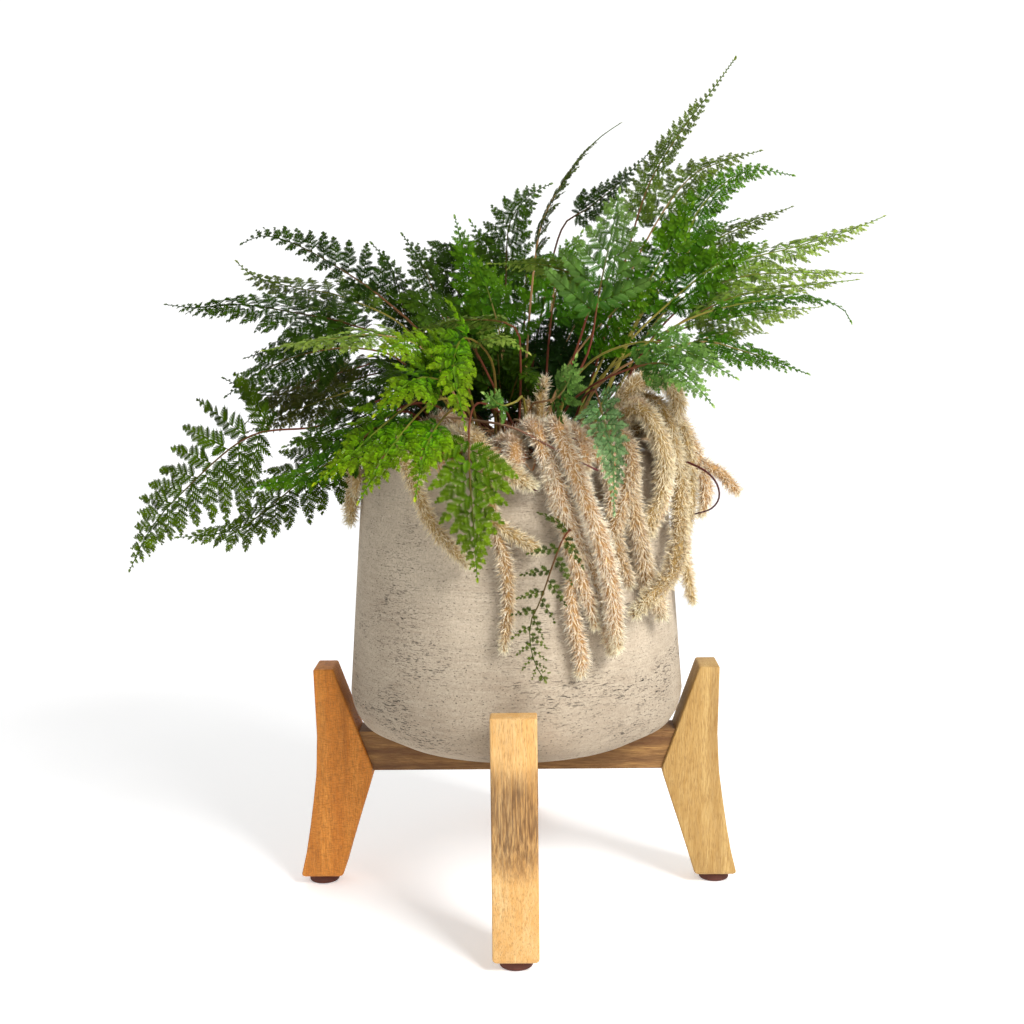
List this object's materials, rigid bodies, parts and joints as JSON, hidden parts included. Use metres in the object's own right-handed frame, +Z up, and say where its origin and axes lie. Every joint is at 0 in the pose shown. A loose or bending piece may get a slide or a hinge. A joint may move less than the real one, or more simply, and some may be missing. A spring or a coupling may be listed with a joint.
{
  "type": "potted fern",
  "caption": "Hare's-foot fern with furry hanging rhizomes, in a round washed-concrete planter on a four-legged oak stand.",
  "frame": {"origin": "on the floor under the planter's axis, between the four feet", "axes": "+Z up from the floor to the highest frond; -Y towards the front, where most of the rhizomes hang; +X to the right of that view"},
  "size_m": [0.61, 0.3599, 0.6563],
  "materials": {
    "oak_light": "honey oak, oiled, satin",
    "oak_dark": "darker orange-brown oak, oiled, satin",
    "rubber": "dark reddish-brown, matt",
    "concrete": "washed warm grey-beige concrete with small pits, matt",
    "black_plastic": "black, slightly shiny rim",
    "soil": "dark peat and bark compost, rough",
    "fur_tan": "rhizome covered in tan hair scales",
    "fur_cream": "rhizome covered in cream hair scales",
    "fur_rust": "rhizome covered in rust-brown hair scales",
    "leaf_dark": "dark green living leaf, satin",
    "leaf_mid": "green living leaf, satin",
    "leaf_bright": "bright yellow-green young leaf, satin",
    "leaf_pale": "pale grey-green leaf underside, satin",
    "leaf_olive": "olive-green living leaf, satin",
    "leaf_blue": "bluish-green living leaf, satin",
    "leaf_brown": "brownish-green ageing leaf, matt"
  },
  "bodies": {
    "root": {"foot_pad_back": "rubber", "foot_pad_front": "rubber", "foot_pad_left": "rubber", "foot_pad_right": "rubber", "frond_back_left": "leaf_dark", "frond_back_middle": "leaf_mid", "frond_back_right": "leaf_dark", "frond_centre_level_pair": "leaf_pale", "frond_centre_pale_pair": "leaf_pale", "frond_far_right_pair": "leaf_pale", "frond_front_bright": "leaf_bright", "frond_front_bright_pair": "leaf_bright", "frond_front_hanging": "leaf_mid", "frond_front_pale_hanging": "leaf_blue", "frond_front_young_pair": "leaf_blue", "frond_hanging_sprig": "leaf_olive", "frond_inner_left_pair": "leaf_mid", "frond_inner_right_pair": "leaf_mid", "frond_left_arch": "leaf_dark", "frond_left_back_pair": "leaf_dark", "frond_left_bright_pair": "leaf_bright", "frond_left_brown_pair": "leaf_brown", "frond_left_edge_on": "leaf_pale", "frond_left_front_pair": "leaf_dark", "frond_left_long_pair": "leaf_dark", "frond_left_upper": "leaf_olive", "frond_low_left": "leaf_dark", "frond_right_back_pair": "leaf_pale", "frond_right_blue_pair": "leaf_blue", "frond_right_cluster_pair": "leaf_mid", "frond_right_front_pair": "leaf_mid", "frond_right_level": "leaf_pale", "frond_rim_bright_pair": "leaf_bright", "frond_tallest": "leaf_olive", "frond_top_left_pair": "leaf_dark", "frond_top_middle": "leaf_dark", "frond_top_middle_pair": "leaf_mid", "frond_top_thin_pair": "leaf_olive", "frond_upper_back_pair": "leaf_olive", "frond_upper_right_pair": "leaf_mid", "leg_back": "oak_dark", "leg_front": "oak_light", "leg_left": "oak_dark", "leg_right": "oak_light", "nursery_pot": "black_plastic", "planter": "concrete", "rail_front_to_back": "oak_dark", "rail_side_to_side": "oak_dark", "rhizome_back_left": "fur_tan", "rhizome_back_middle": "fur_rust", "rhizome_back_right": "fur_tan", "rhizome_edge_bunch": "fur_tan", "rhizome_inner_bunch": "fur_rust", "rhizome_left_bunch": "fur_cream", "rhizome_left_thin": "fur_rust", "rhizome_main_hank": "fur_tan", "rhizome_right_bunch": "fur_cream", "rhizome_side_left": "fur_cream", "soil": "soil"}
  },
  "joints": []
}
